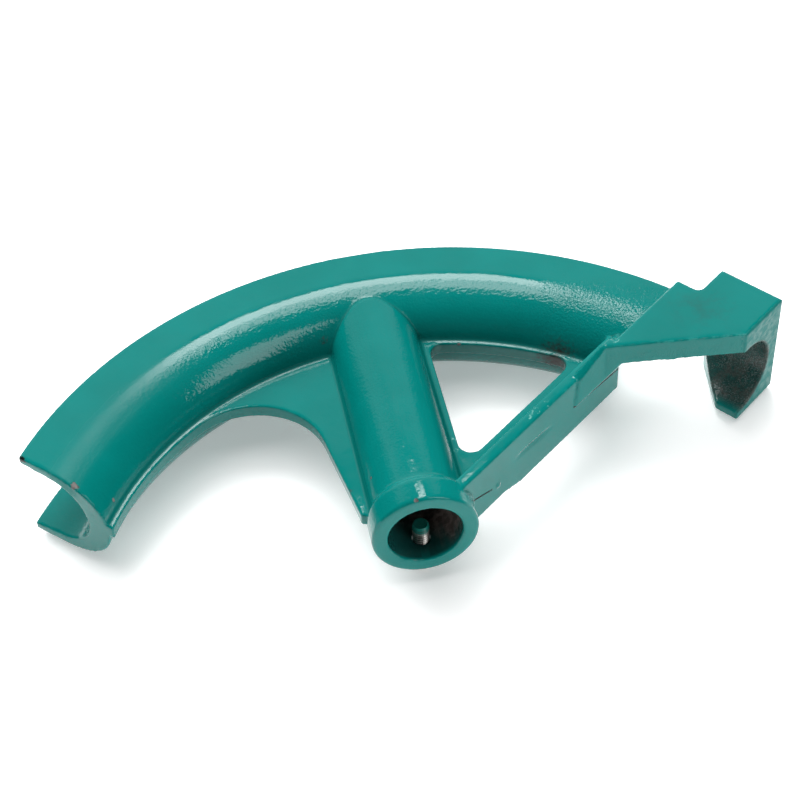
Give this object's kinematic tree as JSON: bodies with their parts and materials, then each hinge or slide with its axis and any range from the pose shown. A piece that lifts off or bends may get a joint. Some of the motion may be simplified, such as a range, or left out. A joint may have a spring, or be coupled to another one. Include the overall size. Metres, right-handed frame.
{
  "type": "conduit bender head",
  "caption": "Cast curved shoe with a pipe groove, web, handle socket, foot pedal and hook, for bending steel conduit by hand, with a lock bolt in the socket.",
  "frame": {"origin": "on the conduit's axis at the crown of the bend, in the middle plane of the groove", "axes": "+X along the conduit at the crown, towards the hook, +Y away from the bend's centre, +Z across the groove, up as the head lies"},
  "size_m": [0.3665, 0.1676, 0.0629],
  "materials": {
    "enamel": "gloss enamel over a rough casting",
    "steel": "plain steel"
  },
  "bodies": {
    "head": {"bender_head": "enamel"},
    "bolt": {"lock_bolt": "steel"}
  },
  "joints": [
    {"name": "lock_bolt_feed", "type": "slide", "parent": "head", "child": "bolt", "axis": [0, 0, 1], "range_m": [-0.0125, 0.002]}
  ]
}
